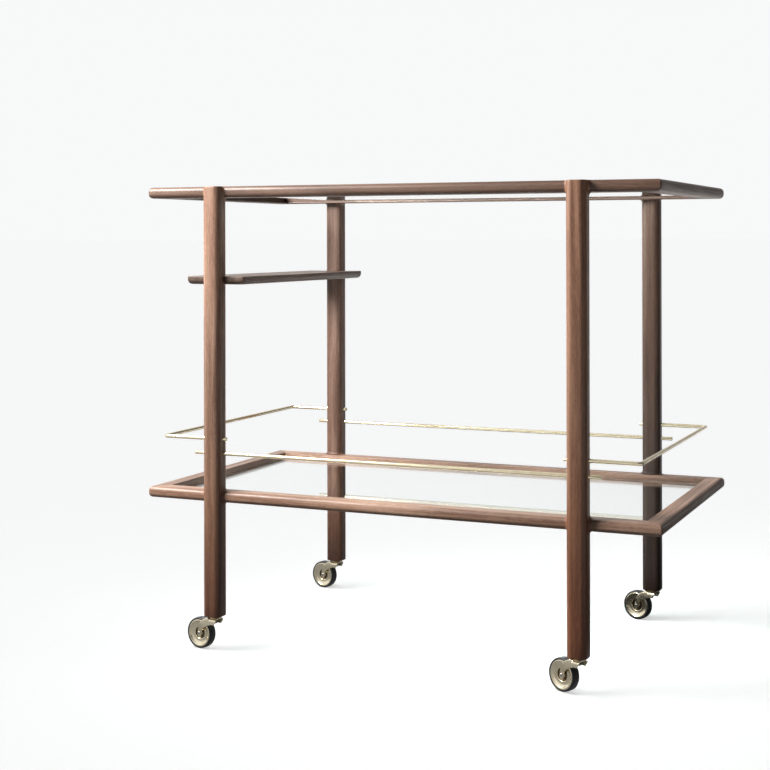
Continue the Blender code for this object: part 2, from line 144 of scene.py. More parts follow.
# ================================================================== materials
def wood(name, dark, mid, light, tone=(0.80, 1.12), pore=0.6, rough=(0.36, 0.5)):
    """Oiled straight-grained timber; the grain runs along x of the "board" attribute."""
    mat, t = new_material(name)
    board = t.add("ShaderNodeAttribute", {"attribute_name": "board"}).outputs["Vector"]
    drift = t.noise(t.scaled(board, (3.0, 14.0, 14.0)), 2.0).outputs["Color"]
    drift = t.add("ShaderNodeVectorMath", {"operation": "SUBTRACT"}, i0=drift,
                  i1=(0.5, 0.5, 0.5)).outputs[0]
    drift = t.add("ShaderNodeVectorMath", {"operation": "MULTIPLY"}, i0=drift,
                  i1=(0.0, 0.011, 0.011)).outputs[0]
    grain = t.add("ShaderNodeVectorMath", {"operation": "ADD"}, i0=board,
                  i1=drift).outputs[0]
    # growth rings, cut through at a slant so that they close in long arches
    rings = t.noise(t.scaled(grain, (1.5, 30.0, 30.0)), 1.5).outputs["Fac"]
    rings = t.math("PINGPONG", t.math("MULTIPLY", rings, 9.0), 1.0)
    rings = t.span(rings, 0.0, 1.0)
    fibre = t.noise(t.scaled(grain, (8.0, 330.0, 330.0)), 5.0, 0.62).outputs["Fac"]
    fine = t.noise(t.scaled(grain, (26.0, 1500.0, 1500.0)), 3.0, 0.6).outputs["Fac"]
    streak = t.noise(t.scaled(grain, (2.2, 95.0, 95.0)), 2.0, 0.5).outputs["Fac"]
    dashes = t.noise(t.scaled(grain, (150.0, 2100.0, 2100.0)), 1.0).outputs["Fac"]
    dashes = t.span(dashes, 0.60, 0.70)
    mottle = t.noise(t.scaled(grain, (60.0, 420.0, 420.0)), 3.0, 0.65).outputs["Fac"]
    value = t.math("ADD", t.math("MULTIPLY", rings, 0.14), t.math("MULTIPLY", fibre, 0.42))
    value = t.math("ADD", value, t.math("MULTIPLY", fine, 0.20))
    value = t.math("ADD", value, t.math("MULTIPLY", streak, 0.36))
    value = t.math("ADD", value, t.math("MULTIPLY", mottle, 0.26))
    colour = t.ramp(value, [(0.535, dark), (0.67, mid), (0.82, light)])
    broad = t.noise(t.scaled(board, (2.4, 11.0, 11.0)), 1.0).outputs["Fac"]
    broad = t.span(broad, 0.3, 0.7, tone[0], tone[1])
    grey = t.add("ShaderNodeCombineColor", Red=broad, Green=broad, Blue=broad).outputs[0]
    colour = t.blend("MULTIPLY", 1.0, colour, grey)
    # the tint attribute scales each board by its own tone and by painted light and shade
    tint = t.add("ShaderNodeAttribute", {"attribute_name": "tint"}).outputs["Vector"]
    colour = t.blend("MULTIPLY", 1.0, colour, tint)
    colour = t.blend("MULTIPLY", t.math("MULTIPLY", dashes, pore), colour,
                     (0.28, 0.22, 0.19))
    roughness = t.span(fibre, 0.3, 0.7, rough[1], rough[0])
    height = t.math("SUBTRACT", t.math("MULTIPLY", fine, 0.6),
                    t.math("MULTIPLY", dashes, 0.8))
    height = t.math("ADD", height, t.math("MULTIPLY", fibre, 0.7))
    bump = t.add("ShaderNodeBump", Strength=0.22, Distance=0.00022, Height=height)
    shader = t.add("ShaderNodeBsdfPrincipled", Base_Color=colour, Roughness=roughness,
                   Normal=bump.outputs[0], IOR=1.47)
    t.output(shader.outputs[0])
    return mat


def metal(name, colour, worn, rough=(0.20, 0.32), turned=False, bump_size=0.00003,
          painted_recess_shade=None):
    """Bright metal with faint tarnish, wiping marks and, on turned work, tool lines; a colour given
    for the dish paints shade into the hub's recess.
    """
    mat, t = new_material(name)
    place = t.add("ShaderNodeTexCoord").outputs["Object"]
    cloud = t.noise(t.scaled(place, (70, 70, 70)), 4.0, 0.6).outputs["Fac"]
    marks = t.noise(t.scaled(place, (900, 900, 260)), 3.0, 0.7).outputs["Fac"]
    shade = t.blend("MIX", t.span(cloud, 0.42, 0.75), colour, worn)
    roughness = t.math("ADD", t.span(cloud, 0.35, 0.7, rough[0], rough[1]),
                       t.math("MULTIPLY", t.span(marks, 0.5, 0.75), 0.06))
    height = t.math("MULTIPLY", marks, 0.5)
    if turned:
        lathe = t.add("ShaderNodeAttribute", {"attribute_name": "board"}).outputs["Vector"]
        lines = t.noise(t.scaled(lathe, (2600, 40, 40)), 2.0).outputs["Fac"]
        height = t.math("ADD", height, lines)
        if painted_recess_shade:
            # painted shade: the hub's recessed dish between these radii is darkened as if in shadow
            radius = t.add("ShaderNodeSeparateXYZ", Vector=lathe).outputs[0]
            recess_shade_mask = t.math("MULTIPLY", t.span(radius, 0.0046, 0.0052),
                            t.span(radius, 0.0094, 0.0101, 1.0, 0.0))
            shade = t.blend("MIX", recess_shade_mask, shade, painted_recess_shade)
    bump = t.add("ShaderNodeBump", Strength=0.10, Distance=bump_size, Height=height)
    shader = t.add("ShaderNodeBsdfPrincipled", Base_Color=shade, Roughness=roughness,
                   Metallic=1.0, Normal=bump.outputs[0])
    t.output(shader.outputs[0])
    return mat


def plastic(name, colour, dusty, rough, size, bump_size, ior=1.5):
    mat, t = new_material(name)
    place = t.add("ShaderNodeTexCoord").outputs["Object"]
    cloud = t.noise(t.scaled(place, (120, 120, 120)), 3.0).outputs["Fac"]
    speck = t.noise(t.scaled(place, (size, size, size)), 3.0, 0.6).outputs["Fac"]
    shade = t.blend("MIX", t.span(cloud, 0.4, 0.75), colour, dusty)
    roughness = t.span(cloud, 0.3, 0.7, rough[0], rough[1])
    bump = t.add("ShaderNodeBump", Strength=0.3, Distance=bump_size, Height=speck)
    shader = t.add("ShaderNodeBsdfPrincipled", Base_Color=shade, Roughness=roughness,
                   Normal=bump.outputs[0], IOR=ior)
    t.output(shader.outputs[0])
    return mat


def glass(name, tint, through, rough=(0.0, 0.012)):
    """Clear float glass that lets the lamps light what stands under it."""
    mat, t = new_material(name)
    place = t.add("ShaderNodeTexCoord").outputs["Object"]
    wiped = t.noise(t.scaled(place, (9, 22, 22)), 4.0, 0.6).outputs["Fac"]
    roughness = t.span(wiped, 0.5, 0.8, rough[0], rough[1])
    shader = t.add("ShaderNodeBsdfPrincipled", Base_Color=(*tint, 1.0),
                   Roughness=roughness, IOR=1.5, Transmission_Weight=1.0)
    clear = t.add("ShaderNodeBsdfTransparent", Color=(*through, 1.0))
    path = t.add("ShaderNodeLightPath")
    mixed = t.add("ShaderNodeMixShader", i0=path.outputs["Is Shadow Ray"],
                  i1=shader.outputs[0], i2=clear.outputs[0])
    t.output(mixed.outputs[0])
    return mat


WALNUT_LEG = wood("walnut_leg_look", (0.118, 0.056, 0.033), (0.215, 0.111, 0.069),
                  (0.33, 0.192, 0.128))
WALNUT_RAIL = wood("walnut_rail_look", (0.165, 0.086, 0.054), (0.285, 0.163, 0.108),
                   (0.40, 0.248, 0.174))
BEECH = wood("beech_look", (0.42, 0.27, 0.15), (0.55, 0.38, 0.23), (0.64, 0.47, 0.30),
             pore=0.2, rough=(0.5, 0.62))
BRASS = metal("brass_look", (0.86, 0.77, 0.58), (0.74, 0.64, 0.44))
BRASS_TURNED = metal("brass_turned_look", (0.86, 0.77, 0.58), (0.74, 0.64, 0.44),
                     turned=True)
# dark brown painted shade in the hub's recess
BRASS_HUB = metal("brass_hub_look", (0.88, 0.80, 0.61), (0.76, 0.66, 0.46), (0.14, 0.24), turned=True,
                  painted_recess_shade=(0.20, 0.15, 0.09))
BRASS_ROD = metal("brass_rod_look", (0.82, 0.73, 0.53), (0.72, 0.61, 0.40),
                  rough=(0.16, 0.26))
STEEL = metal("steel_look", (0.50, 0.48, 0.45), (0.40, 0.38, 0.35), rough=(0.2, 0.34))
NYLON = plastic("nylon_look", (0.72, 0.70, 0.64), (0.62, 0.60, 0.54), (0.42, 0.55), 900,
                0.00004)
RUBBER = plastic("rubber_look", (0.010, 0.010, 0.012), (0.022, 0.021, 0.021),
                 (0.34, 0.46), 1400, 0.00005)
GLASS = glass("glass_look", (0.94, 0.975, 0.97), (0.90, 0.95, 0.945))
GLASS_EDGE = glass("glass_edge_look", (0.62, 0.80, 0.76), (0.62, 0.80, 0.76),
                   (0.05, 0.12))
LOOKS = {"walnut_leg": WALNUT_LEG, "walnut_rail": WALNUT_RAIL, "beech": BEECH,
         "brass": BRASS, "brass_rod": BRASS_ROD, "steel": STEEL, "nylon": NYLON,
         "rubber": RUBBER, "glass": GLASS}


# ================================================================ mesh helpers
def finish(mesh, angle=32.0):
    bm = bmesh.new()
    bm.from_mesh(mesh)
    bmesh.ops.remove_doubles(bm, verts=bm.verts, dist=2e-6)
    bmesh.ops.dissolve_degenerate(bm, edges=bm.edges, dist=1e-6)
    bmesh.ops.recalc_face_normals(bm, faces=bm.faces[:])
    bm.to_mesh(mesh)
    bm.free()
    mesh.shade_smooth()
    mesh.set_sharp_from_angle(angle=math.radians(angle))
    return mesh


def loft(name, rings, caps=True, closed=False, angle=32.0):
    """A skin through rings of points, in metres.  Ring ends are capped."""
    count, size = len(rings), len(rings[0])
    points = [p for ring in rings for p in ring]
    faces = []
    for i in range(count if closed else count - 1):
        a, b = i * size, ((i + 1) % count) * size
        for j in range(size):
            k = (j + 1) % size
            faces.append((a + j, a + k, b + k, b + j))
    if caps and not closed:
        faces.append(tuple(range(size)))
        faces.append(tuple((count - 1) * size + j for j in range(size)))
    mesh = bpy.data.meshes.new(name)
    mesh.from_pydata([tuple(p) for p in points], [], faces)
    return finish(mesh, angle)


def lathe(name, profile, steps, angle=32.0):
    """A closed profile of (radius, height) in mm, turned about Z."""
    rings = []
    for i in range(steps):
        a = 2 * math.pi * i / steps
        rings.append([(r * MM * math.cos(a), r * MM * math.sin(a), h * MM)
                      for r, h in profile])
    return loft(name, rings, closed=True, angle=angle)


def smooth_line(points, per=6):
    """Catmull-Rom points through a line of tuples."""
    pts = [np.array(p, float) for p in points]
    pts = [2 * pts[0] - pts[1]] + pts + [2 * pts[-1] - pts[-2]]
    out = []
    for i in range(1, len(pts) - 2):
        a, b, c, d = pts[i - 1:i + 3]
        for j in range(per):
            t = j / per
            out.append(0.5 * ((2 * b) + (c - a) * t + (2 * a - 5 * b + 4 * c - d) * t * t
                              + (3 * b - a - 3 * c + d) * t ** 3))
    out.append(pts[-2])
    return out


def set_board(mesh, order, shift, tint=(1.0, 1.0, 1.0)):
    """Stores where each point lies in its own board, the grain running along x."""
    co = np.zeros(len(mesh.vertices) * 3, np.float32)
    mesh.vertices.foreach_get("co", co)
    co = co.reshape(-1, 3)[:, list(order)] + np.array(shift, np.float32)
    mesh.attributes.new("board", "FLOAT_VECTOR", "POINT").data.foreach_set(
        "vector", co.reshape(-1).astype(np.float32))
    set_tone_and_painted_light(mesh, tint)


def set_tone_and_painted_light(mesh, tint, *fades):
    """Scales a board's colour by its own tone and by painted light and shade; fades paint it lighter
    or darker along one axis.
    """
    data = np.tile(np.array(tint, np.float32), (len(mesh.vertices), 1))
    for axis, stations, factors in fades:
        factors = np.array([np.broadcast_to(f, 3) for f in factors])
        at = [v.co[axis] for v in mesh.vertices]
        data *= np.stack([np.interp(at, stations, factors[:, k]) for k in range(3)], 1)
    attribute = mesh.attributes.get("tint") or mesh.attributes.new(
        "tint", "FLOAT_VECTOR", "POINT")
    attribute.data.foreach_set("vector", data.reshape(-1).astype(np.float32))


def add_piece(name, mesh, mat, *nodes, more=()):
    obj = bpy.data.objects.new(name, mesh)
    bpy.context.scene.collection.objects.link(obj)
    mesh.materials.clear()
    for m in (mat, *more):
        mesh.materials.append(m)
    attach(obj, BODY_OF[nodes[0]])
    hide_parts(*nodes)
    return obj


# ============================================================ sizes from the CAD
def size_of(node):
    low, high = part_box(node)
    return low, high, (low + high) / 2


_lo, _hi, _ = size_of("top_right_rail")
HALF_L = _hi.x
RAIL_W = _hi.x - _lo.x
TOP_Z = _hi.z
RAIL_H = _hi.z - _lo.z
HALF_W = -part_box("top_front_rail")[0].y
LOWER_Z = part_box("lower_right_rail")[1].z
LEDGE = 6.0 * MM
RAIL_TOP = RAIL_W - LEDGE
GLASS_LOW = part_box("top_glass")[0].z - (TOP_Z - RAIL_H)
LEG_LO, LEG_HI, _ = size_of("front_left_leg")
LEG_HALF = (LEG_HI.x - LEG_LO.x) / 2
LEG_R = 10.0 * MM
LEG_AT = {leg: size_of(f"{leg}_leg")[2] for leg in LEGS}
FLARE = 5.0 * MM               # fillet that eases a leg into the rails
RAIL_R = 7.5 * MM              # roundover along the rails' outer edges


# ======================================================================== legs
def rail_distance(y, z, top):
    """How far a point of the cross-section lies outside a rail's rounded section."""
    r = RAIL_R
    y0, y1, z0, z1 = HALF_W - RAIL_W - 20 * MM, HALF_W, top - RAIL_H, top
    dy = abs(y - (y0 + y1) / 2) - ((y1 - y0) / 2 - r)
    dz = abs(z - (z0 + z1) / 2) - ((z1 - z0) / 2 - r)
    return math.hypot(max(dy, 0), max(dz, 0)) + min(max(dy, dz), 0) - r


def flare_at(y, z):
    best = 0.0
    for top in (TOP_Z, LOWER_Z):
        d = max(rail_distance(y, z, top), 0.0)
        if d < FLARE:
            best = max(best, FLARE - math.sqrt(FLARE ** 2 - (FLARE - d) ** 2))
    return best


def leg_outline():
    """Points and outward normals of the rounded square, out of the cart being +y."""
    flat = LEG_HALF - LEG_R
    out = []
    for q in range(4):
        base = math.radians(90 * q)
        n = Vector((math.cos(base), math.sin(base)))
        t = Vector((-n.y, n.x))
        for i in range(11):
            out.append((n * LEG_HALF + t * flat * (2 * i / 11 - 1), n))
        centre = n * flat + t * flat
        for i in range(10):
            a = base + math.radians(90 * i / 10)
            m = Vector((math.cos(a), math.sin(a)))
            out.append((centre + m * LEG_R, m))
    return out


def leg_mesh(leg):
    centre = LEG_AT[leg]
    sign = 1 if centre.y > 0 else -1
    z0, z1 = LEG_LO.z, LEG_HI.z
    ease = 1.3 * MM
    heights = set()
    for lo, hi, step in ((z0 + ease, z1 - ease, 24 * MM),
                         (LOWER_Z - RAIL_H - 6 * MM, LOWER_Z - RAIL_H + 2 * MM, 0.5 * MM),
                         (LOWER_Z - 6 * MM, LOWER_Z + 6 * MM, 0.5 * MM),
                         (LOWER_Z - RAIL_H, LOWER_Z, 2 * MM),
                         (TOP_Z - RAIL_H - 6 * MM, TOP_Z - RAIL_H + 2 * MM, 0.5 * MM),
                         (TOP_Z - RAIL_H, TOP_Z - ease, 2 * MM)):
        n = max(1, round((hi - lo) / step))
        heights.update(round(lo + (hi - lo) * i / n, 6) for i in range(n + 1))
    heights = sorted(heights)
    keep = [heights[0]]
    for z in heights[1:]:
        if z - keep[-1] > 0.3 * MM:
            keep.append(z)
    stations = [(z0, ease + 1.0 * MM), (z0, ease)]
    stations += [(z0 + ease * (1 - math.cos(a)), ease * (1 - math.sin(a)))
                 for a in (math.radians(30), math.radians(60))]
    stations += [(z, 0.0) for z in keep]
    stations += [(z1 - ease * (1 - math.cos(a)), ease * (1 - math.sin(a)))
                 for a in (math.radians(60), math.radians(30))]
    stations += [(z1, ease), (z1, ease + 1.0 * MM)]
    outline = leg_outline()
    rings = []
    for z, inset in stations:
        ring = []
        for p, n in outline:
            grow = flare_at(abs(centre.y) + p.y, z)
            x = p.x - n.x * inset + grow * n.x
            y = p.y - n.y * inset + grow * min(n.y, 0.0)
            ring.append((centre.x + x, centre.y + sign * y, z))
        rings.append(ring)
    return loft(f"{leg}_leg_mesh", rings, angle=40)


# painted light and shade per leg: each leg's colour scaled for how the key lights it, the rear right
# leg painted dark as if in shade, paler bluer casts as painted sheen
LEG_PAINTED_LIGHT = {"front_left": (1.04, 1.10, 1.16), "front_right": (1.42, 1.32, 1.24),
            "rear_right": (0.42, 0.40, 0.40), "rear_left": (0.68, 0.74, 0.84)}
# painted falloff: the legs darker towards the floor, slightly lighter at the top
LEG_PAINTED_FALLOFF = (2, (0.05, 0.15, 0.25, 0.34, 0.45, 0.74),
            ((0.52, 0.38, 0.30), (0.66, 0.50, 0.40), (0.86, 0.74, 0.64),
             (0.93, 0.88, 0.84), 1.0, 1.14))
# painted shadow: the rear right leg much darker low down
REAR_RIGHT_PAINTED_SHADE = (2, (0.05, 0.15, 0.25, 0.34, 0.45, 0.74),
                   ((0.20, 0.17, 0.15), (0.26, 0.22, 0.20), 0.42, 0.55, 0.95, 1.12))
for i, leg in enumerate(LEGS):
    mesh = leg_mesh(leg)
    c = LEG_AT[leg]
    set_board(mesh, (2, 0, 1), (1.7 * i, 0.31 * i - c.x, 0.17 * i - c.y))
    set_tone_and_painted_light(mesh, LEG_PAINTED_LIGHT[leg], REAR_RIGHT_PAINTED_SHADE if leg == "rear_right" else LEG_PAINTED_FALLOFF)
    add_piece(f"{leg}_leg_walnut", mesh, WALNUT_LEG, f"{leg}_leg")


# ======================================================================= rails
def arc(y, z, radius, start, steps):
    a0 = math.radians(start)
    cy = y - radius * (math.cos(a0) + math.cos(a0 + math.pi / 2))
    cz = z - radius * (math.sin(a0) + math.sin(a0 + math.pi / 2))
    return [(cy + radius * math.cos(a0 + math.pi / 2 * i / steps),
             cz + radius * math.sin(a0 + math.pi / 2 * i / steps))
            for i in range(steps + 1)]


def with_flats(section):
    """Adds points close to both ends of each flat, so that flats shade as flat."""
    out = []
    for (y0, z0), (y1, z1) in zip(section, section[1:] + section[:1]):
        out.append((y0, z0))
        long = math.hypot(y1 - y0, z1 - z0)
        if long > 2.4 * MM:
            for f in (0.4 * MM / long, 1 - 0.4 * MM / long):
                out.append((y0 + (y1 - y0) * f, z0 + (z1 - z0) * f))
    return out


def rail_mesh(name, half, seam=0.14 * MM):
    """A mitred rail whose outer corner is eased in plan.  X along, Y inwards, Z up."""
    corner_r = 2.5 * MM
    ledge = GLASS_LOW - 0.2 * MM
    section = with_flats(
        [*arc(RAIL_W, 0, 1.6 * MM, -90, 4), *arc(RAIL_W, ledge, 0.5 * MM, 0, 2),
         (RAIL_TOP, ledge), *arc(RAIL_TOP, RAIL_H, 2.0 * MM, 0, 5),
         *arc(0, RAIL_H, RAIL_R, 90, 10), *arc(0, 0, RAIL_R, 180, 10)])
    straight, steps = 24, 5

    def ring(t, step=0):
        points = []
        for y, z in section:
            if y < corner_r - 1e-7:
                a = math.radians(45) * step / steps
                x = t * (half - corner_r + (corner_r - y) * math.sin(a)
                         - seam * step / steps)
                points.append((x, corner_r - (corner_r - y) * math.cos(a), z))
            else:
                points.append((t * (half - y - seam), y, z))
        return points

    rings = [ring(-1, s) for s in range(steps, 0, -1)]
    rings += [ring(2 * k / straight - 1) for k in range(straight + 1)]
    rings += [ring(1, s) for s in range(1, steps + 1)]
    return loft(name, rings, angle=34)


# per-rail colour scale, partly the rail's own tone, partly painted light and shade: the top right end
# greyer and bluer as a painted reflection, the lower front paler as painted sheen
RAIL_TONE_AND_PAINTED_LIGHT = {("top", "front"): (0.52, 0.51, 0.515), ("top", "right"): (0.72, 0.80, 0.90),
             ("top", "rear"): (0.46, 0.47, 0.50), ("top", "left"): (0.52, 0.53, 0.55),
             ("lower", "front"): (1.42, 1.50, 1.57), ("lower", "rear"): (1.0, 1.02, 1.05),
             ("lower", "left"): (0.76, 0.82, 0.88), ("lower", "right"): (0.88, 0.86, 0.86)}
# painted falloff along the rails: the top front lighter towards its right end, the lower front
# lighter at its left end and darker along its top edge, the lower rear darker towards its right end
RAIL_PAINTED_FALLOFF = {("top", "front"): ((0, (-0.3, 0.4), (0.88, 1.15)),),
        ("lower", "front"): ((0, (-0.3, 0.4), (1.20, 0.84)),
                             (2, (0.55 * RAIL_H, 0.98 * RAIL_H), (1.24, 0.84))),
        ("lower", "rear"): ((0, (-0.42, -0.08), (0.50, 1.0)),)}
index = 0
for level, top in (("top", TOP_Z), ("lower", LOWER_Z)):
    for side, half, origin, turn in (
            ("front", HALF_L, (0, -HALF_W), 0.0), ("rear", HALF_L, (0, HALF_W), math.pi),
            ("left", HALF_W, (-HALF_L, 0), -math.pi / 2),
            ("right", HALF_W, (HALF_L, 0), math.pi / 2)):
        mesh = rail_mesh(f"{level}_{side}_rail_mesh", half)
        set_board(mesh, (0, 1, 2), (2.3 * index + 0.9, 0.37 * index + 0.05,
                                    0.21 * index + 0.02))
        set_tone_and_painted_light(mesh, RAIL_TONE_AND_PAINTED_LIGHT[level, side], *RAIL_PAINTED_FALLOFF.get((level, side), ()))
        drop = 0.08 * MM if side in ("front", "rear") else 0.0
        mesh.transform(Matrix.Translation((*origin, top - RAIL_H - drop))
                       @ Matrix.Rotation(turn, 4, "Z"))
        add_piece(f"{level}_{side}_rail_walnut", mesh, WALNUT_RAIL,
                  f"{level}_{side}_rail")
        index += 1


# ================================================================== side shelf
def slab(name, lo, hi, corner_r, profile, per=9):
    """A board with rounded corners; profile is (inset, height above the bottom)."""
    rings = []
    for inset, h in profile:
        ring = []
        x0, x1, y0, y1 = lo.x + inset, hi.x - inset, lo.y + inset, hi.y - inset
        r = max(corner_r - inset, 0.2 * MM)
        for cx, cy, start in ((x1 - r, y1 - r, 0), (x0 + r, y1 - r, 90),
                              (x0 + r, y0 + r, 180), (x1 - r, y0 + r, 270)):
            for i in range(per):
                a = math.radians(start + 90 * i / (per - 1))
                ring.append((cx + r * math.cos(a), cy + r * math.sin(a), lo.z + h))
        rings.append(ring)
    return loft(name, rings, angle=40)


def round_profile(height, low_r, high_r, steps=7):
    out = [(low_r + 1.0 * MM, 0.0)]
    for i in range(steps + 1):
        a = math.radians(90 * i / steps)
        out.append((low_r * (1 - math.sin(a)), low_r * (1 - math.cos(a))))
    for i in range(steps + 1):
        a = math.radians(90 * i / steps)
        out.append((high_r * (1 - math.cos(a)), height - high_r * (1 - math.sin(a))))
    out.append((high_r + 1.0 * MM, height))
    return out


lo, hi, mid = size_of("side_shelf")
mesh = slab("side_shelf_mesh", lo, hi, 4.5 * MM,
            round_profile(hi.z - lo.z, 8.5 * MM, 1.6 * MM, 9))
set_board(mesh, (1, 0, 2), (7.1, 0.6, 0.33), (0.38, 0.42, 0.46))
add_piece("side_shelf_walnut", mesh, WALNUT_RAIL, "side_shelf")

# ======================================================================= glass
for level in ("top", "lower"):
    lo, hi, mid = size_of(f"{level}_glass")
    mesh = slab(f"{level}_glass_mesh", lo, hi, 2.0 * MM,
                round_profile(hi.z - lo.z, 0.7 * MM, 0.7 * MM, 3), per=5)
    obj = add_piece(f"{level}_glass_sheet", mesh, GLASS, f"{level}_glass",
                    more=(GLASS_EDGE,))
    for poly in mesh.polygons:
        if abs(poly.normal.z) < 0.9:
            poly.material_index = 1


# ======================================================================== rods
def tube(name, path, radius, sides=20, ease=0.6 * MM):
    """A round rod along a level path of points, its ends slightly rounded."""
    pts = [Vector(p) for p in path]
    first, last = (pts[1] - pts[0]).normalized(), (pts[-1] - pts[-2]).normalized()
    stations = [(pts[0], first, radius - ease), (pts[0] + first * ease * 0.3, first,
                                                 radius - ease * 0.3),
                (pts[0] + first * ease, first, radius)]
    for i in range(1, len(pts) - 1):
        way = ((pts[i + 1] - pts[i]).normalized() + (pts[i] - pts[i - 1]).normalized())
        stations.append((pts[i], way.normalized(), radius))
    stations += [(pts[-1] - last * ease, last, radius),
                 (pts[-1] - last * ease * 0.3, last, radius - ease * 0.3),
                 (pts[-1], last, radius - ease)]
    rings = []
    up = Vector((0, 0, 1))
    for p, way, r in stations:
        side = way.cross(up)
        rings.append([p + (side * math.cos(2 * math.pi * k / sides)
                           + up * math.sin(2 * math.pi * k / sides)) * r
                      for k in range(sides)])
    return loft(name, rings, angle=50)


for side in ("front", "rear"):
    lo, hi, mid = size_of(f"{side}_rod")
    n = 24
    path = [(lo.x + (hi.x - lo.x) * i / n, mid.y, mid.z) for i in range(n + 1)]
    mesh = tube(f"{side}_rod_mesh", path, (hi.z - lo.z) / 2)
    add_piece(f"{side}_rod_brass", mesh, BRASS_ROD, f"{side}_rod")
for side, sign in (("left", -1), ("right", 1)):
    lo, hi, mid = size_of(f"{side}_end_rod")
    radius = (hi.z - lo.z) / 2
    bend = 5 * MM
    far = (hi.x if sign > 0 else -lo.x) - radius
    near = lo.x if sign > 0 else -hi.x
    ym = hi.y - radius
    path = [(near + (far - bend - near) * i / 8, -ym) for i in range(8)]
    path += [(far - bend + bend * math.sin(a), -ym + bend - bend * math.cos(a))
             for a in (math.radians(90 * i / 14) for i in range(15))]
    path += [(far, (-ym + bend) * (1 - 2 * i / 16)) for i in range(1, 16)]
    path += [(x, -y) for x, y in reversed(path[:8 + 15])]
    mesh = tube(f"{side}_end_rod_mesh", [(sign * x, y, mid.z) for x, y in path], radius)
    add_piece(f"{side}_end_rod_brass", mesh, BRASS_ROD, f"{side}_end_rod")

# ===================================================================== casters
SWIVEL = {j["name"][:-7]: j for j in frame["joints"] if j["name"].endswith("_swivel")}
ROLL = {j["name"][:-5]: j for j in frame["joints"] if j["name"].endswith("_roll")}
WHEEL_R = ROLL["front_left"]["pos_m"][2]
_p, _q = SWIVEL["front_left"]["pos_m"], ROLL["front_left"]["pos_m"]
TRAIL = math.hypot(_p[0] - _q[0], _p[1] - _q[1]) / MM
ARM_IN, CROWN_TOP, SHEET = 8.6, 54.0, 2.0


def use_boolean(target, tool, operation):
    mod = target.modifiers.new("cut", "BOOLEAN")
    mod.operation, mod.solver, mod.object = operation, "EXACT", tool


def loose(name, mesh):
    obj = bpy.data.objects.new(name, mesh)
    bpy.context.scene.collection.objects.link(obj)
    return obj


def block(name, x0, x1, y0, y1, z0, z1, test=None, radius=0.0, steps=8):
    bm = bmesh.new()
    bmesh.ops.create_cube(bm, size=1.0)
    bmesh.ops.scale(bm, vec=((x1 - x0) * MM, (y1 - y0) * MM, (z1 - z0) * MM),
                    verts=bm.verts)
    bmesh.ops.translate(bm, vec=((x0 + x1) / 2 * MM, (y0 + y1) / 2 * MM,
                                 (z0 + z1) / 2 * MM), verts=bm.verts)
    if test:
        edges = [e for e in bm.edges if test(*(v.co / MM for v in e.verts))]
        bmesh.ops.bevel(bm, geom=edges, offset=radius * MM, segments=steps, profile=0.5,
                        affect="EDGES", clamp_overlap=True)
    mesh = bpy.data.meshes.new(name)
    bm.to_mesh(mesh)
    bm.free()
    return mesh


def arm_mesh(side):
    """One swept arm of the fork, from the crown down to a rounded end on the axle."""
    stations = [
        (-5.0, 47.6, 5.9, 8.60), (-11.0, 46.1, 6.3, 8.60), (-16.0, 43.6, 6.3, 8.60),
        (-20.6, 40.0, 5.9, 8.30), (-24.4, 35.8, 5.3, 7.30), (-26.7, 31.8, 4.8, 5.40),
        (-28.1, 28.4, 4.4, 4.60), (-29.2, 23.0, 4.1, 4.50), (-29.3, 20.5, 3.4, 4.50),
        (-29.3, 18.9, 2.3, 4.50), (-29.3, 18.1, 1.0, 4.50)]
    line = smooth_line(stations, 5)
    rings = []
    for i, (x, z, half, inner) in enumerate(line):
        a, b = line[max(i - 1, 0)], line[min(i + 1, len(line) - 1)]
        way = Vector((b[0] - a[0], 0, b[1] - a[1])).normalized()
        across = Vector((way.z, 0, -way.x))
        ring = []
        section = [(1.0, 0.0), (1.0, 1.2), (0.96, 1.6), (0.84, 1.85), (0.5, 1.98), (0, 2.02),
                   (-0.5, 1.98), (-0.84, 1.85), (-0.96, 1.6), (-1.0, 1.2), (-1.0, 0.0),
                   (0, 0.0)]
        for w, y in section:
            p = Vector((x, 0, z)) + across * half * w
            ring.append((p.x * MM, side * (inner + y) * MM, p.z * MM))
        rings.append(ring)
    return loft(f"arm_{side}", rings)


